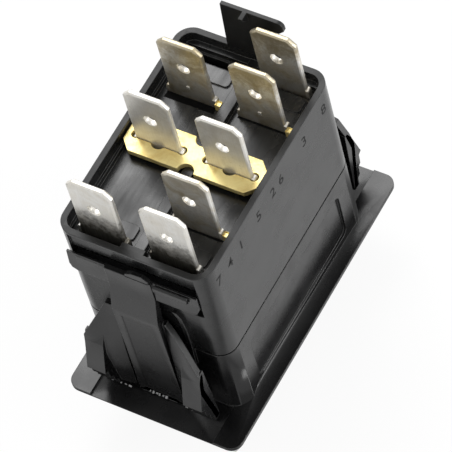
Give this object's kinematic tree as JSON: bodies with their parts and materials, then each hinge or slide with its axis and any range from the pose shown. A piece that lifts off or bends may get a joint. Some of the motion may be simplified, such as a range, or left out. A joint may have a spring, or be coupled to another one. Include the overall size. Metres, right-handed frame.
{
  "type": "panel rocker switch",
  "caption": "Black snap-in panel rocker switch, terminals to the rear: flat tin plated blades in a recessed housing, a brass link across the middle and stepped spring wings at each end.",
  "frame": {"origin": "on the switch's axis, in the plane where the flange meets the panel", "axes": "X across the switch, Y along it, +Z to the rear, where the terminals are"},
  "size_m": [0.0244, 0.0432, 0.0447],
  "materials": {
    "housing_black": "satin",
    "bracket_black": "matte",
    "rocker_black": "fine matte",
    "tin_plate": "dull tin plate",
    "link_brass": "plain brass",
    "contact_copper": "plain copper alloy",
    "contact_silver": "dull silver",
    "plunger_white": "plain",
    "spring_steel": "bright drawn wire",
    "lens_clear": "polished",
    "lamp_clear": "polished"
  },
  "bodies": {
    "housing": {"base_housing": "housing_black", "mounting_bracket": "bracket_black", "common_link": "link_brass", "lamp_near": "lamp_clear", "lamp_far": "lamp_clear", "terminal_lamp_near_left": "tin_plate", "terminal_lamp_near_right": "tin_plate", "terminal_lamp_far_right": "tin_plate", "terminal_common_left": "tin_plate", "terminal_common_right": "tin_plate", "terminal_throw_far_left": "tin_plate", "terminal_throw_far_right": "tin_plate", "terminal_throw_near_right": "tin_plate", "fixed_contact_far_left": "contact_silver", "fixed_contact_far_right": "contact_silver", "fixed_contact_near_right": "contact_silver"},
    "rocker": {"rocker": "rocker_black", "lens_near": "lens_clear", "lens_far": "lens_clear", "plunger_spring_left": "spring_steel", "plunger_spring_right": "spring_steel"},
    "plunger_left": {"plunger_left": "plunger_white"},
    "seesaw_left": {"seesaw_left": "contact_copper", "moving_contact_near_left": "contact_silver", "moving_contact_far_left": "contact_silver"},
    "plunger_right": {"plunger_right": "plunger_white"},
    "seesaw_right": {"seesaw_right": "contact_copper", "moving_contact_near_right": "contact_silver", "moving_contact_far_right": "contact_silver"}
  },
  "joints": [
    {"name": "rocker_tilt", "type": "hinge", "parent": "housing", "child": "rocker", "pos_m": [0, 0, 0.003], "axis": [1, 0, 0], "range_deg": [-12, 12]},
    {"name": "plunger_slide_left", "type": "slide", "parent": "rocker", "child": "plunger_left", "axis": [0, 0, -1], "range_m": [0, 0.001], "stiffness_N_per_m": 400, "springref_m": -0.0015, "deforming": ["plunger_spring_left"]},
    {"name": "seesaw_rock_left", "type": "hinge", "parent": "housing", "child": "seesaw_left", "pos_m": [-0.00495, 0, 0.0143], "axis": [1, 0, 0], "range_deg": [-5, 5]},
    {"name": "plunger_slide_right", "type": "slide", "parent": "rocker", "child": "plunger_right", "axis": [0, 0, -1], "range_m": [0, 0.001], "stiffness_N_per_m": 400, "springref_m": -0.0015, "deforming": ["plunger_spring_right"]},
    {"name": "seesaw_rock_right", "type": "hinge", "parent": "housing", "child": "seesaw_right", "pos_m": [0.00495, 0, 0.0143], "axis": [1, 0, 0], "range_deg": [-5, 5]}
  ],
  "couplings": [
    {"joint": "seesaw_rock_left", "follows": "rocker_tilt", "ratio": -0.4},
    {"joint": "seesaw_rock_right", "follows": "rocker_tilt", "ratio": -0.4}
  ]
}
